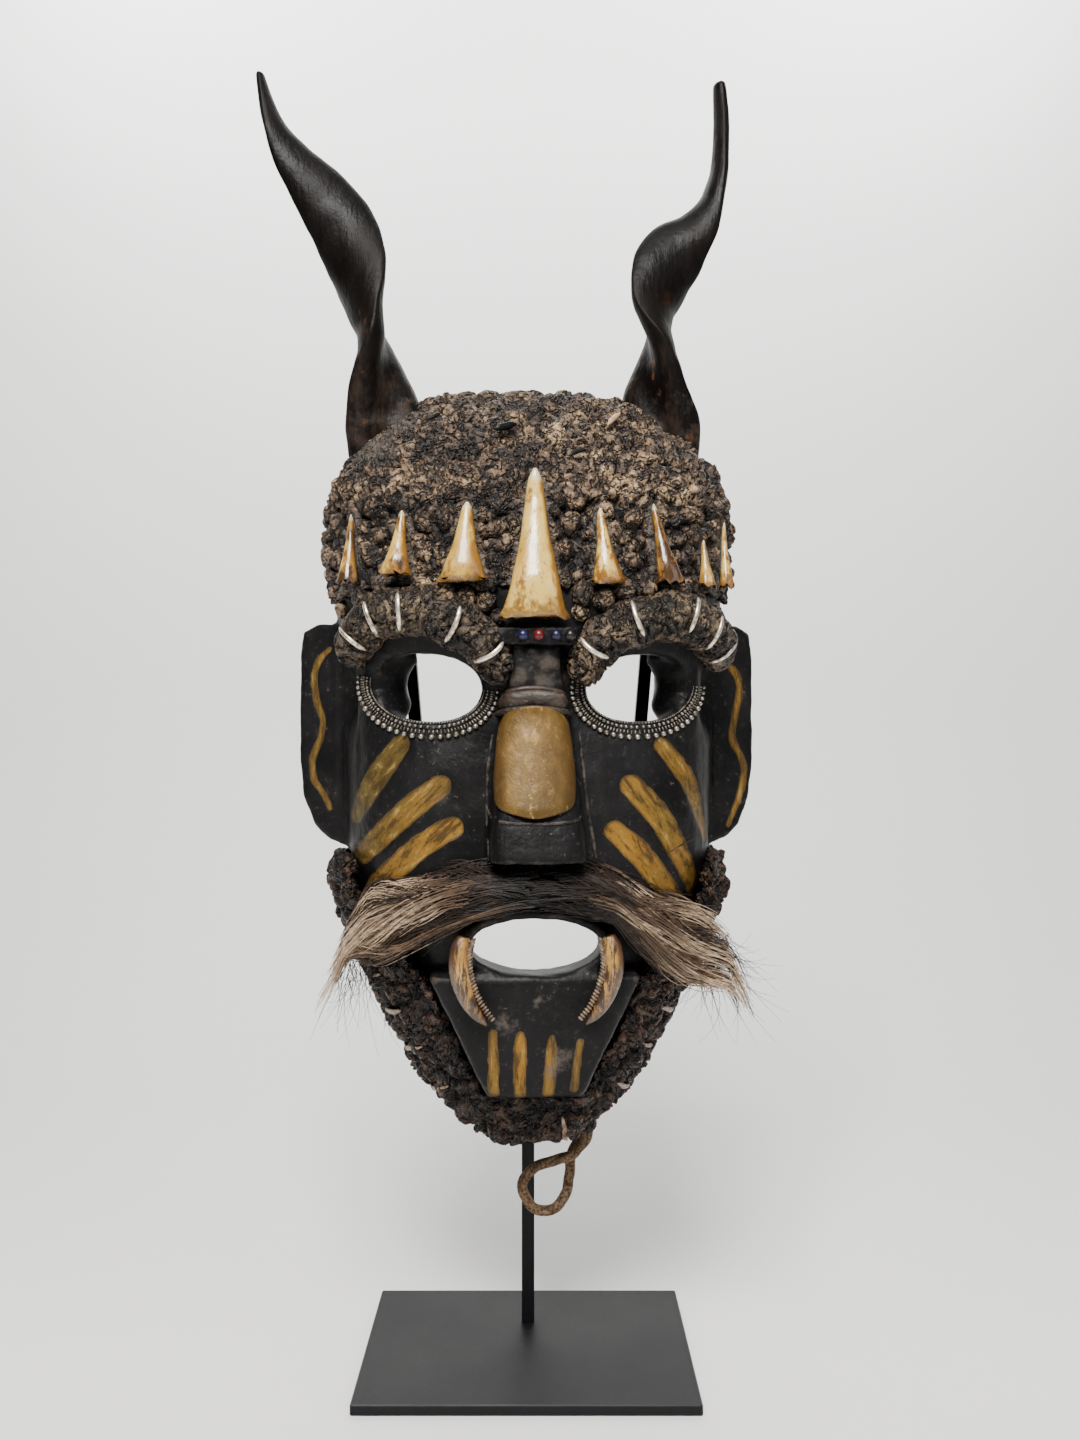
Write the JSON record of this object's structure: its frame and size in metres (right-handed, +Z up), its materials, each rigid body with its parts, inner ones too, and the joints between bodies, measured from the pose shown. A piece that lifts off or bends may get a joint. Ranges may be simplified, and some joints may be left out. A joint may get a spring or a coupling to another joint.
{
  "type": "dance mask",
  "caption": "Horned wooden dance mask, hollow behind, with a row of teeth, hair crusts, a moustache and a hanging cord, held up on a forked rod over a flat steel plate.",
  "frame": {"origin": "centre of the stand plate's underside, on the surface that it stands on", "axes": "+Z up, along the rod; -Y the way the face looks; +X to the right as the face is seen from the front"},
  "size_m": [0.235, 0.1442, 0.602],
  "materials": {
    "black_steel": "satin black",
    "dark_wood": "blackened wood, soft sheen, worn edges",
    "horn": "black brown, half gloss",
    "hair_crust": "rough lumps of hair and resin",
    "ivory": "polished, stained golden brown",
    "silver_wire": "tarnished silver colour",
    "gold_plate": "aged and mottled",
    "goat_hair": "coarse tan, brown and black hair",
    "plant_cord": "twisted brown fibre",
    "blue_bead": "opaque, glossy",
    "red_bead": "opaque, glossy",
    "dark_bead": "opaque, glossy"
  },
  "bodies": {
    "root": {"base_plate": "black_steel", "stand_post": "black_steel", "mask_body": "dark_wood", "left_horn": "horn", "right_horn": "horn", "crown_crust": "hair_crust", "beard_crust": "hair_crust", "left_brow": "hair_crust", "right_brow": "hair_crust", "centre_tooth": "ivory", "left_tooth_1": "ivory", "left_tooth_2": "ivory", "left_tooth_3": "ivory", "right_tooth_1": "ivory", "right_tooth_2": "ivory", "right_tooth_3": "ivory", "right_tooth_4": "ivory", "left_tusk": "ivory", "right_tusk": "ivory", "left_eye_beads_inner": "silver_wire", "left_eye_beads_outer": "silver_wire", "right_eye_beads_inner": "silver_wire", "right_eye_beads_outer": "silver_wire", "nose_bead_strip": "dark_wood", "nose_bead_1": "blue_bead", "nose_bead_2": "red_bead", "nose_bead_3": "blue_bead", "nose_bead_4": "dark_bead", "nose_plate": "gold_plate", "moustache": "goat_hair", "cord_loop": "plant_cord", "left_brow_band_1": "silver_wire", "left_brow_band_2": "silver_wire", "left_brow_band_3": "silver_wire", "left_brow_band_4": "silver_wire", "left_brow_band_5": "silver_wire", "right_brow_band_1": "silver_wire", "right_brow_band_2": "silver_wire", "right_brow_band_3": "silver_wire", "right_brow_band_4": "silver_wire", "right_brow_band_5": "silver_wire"}
  },
  "joints": []
}
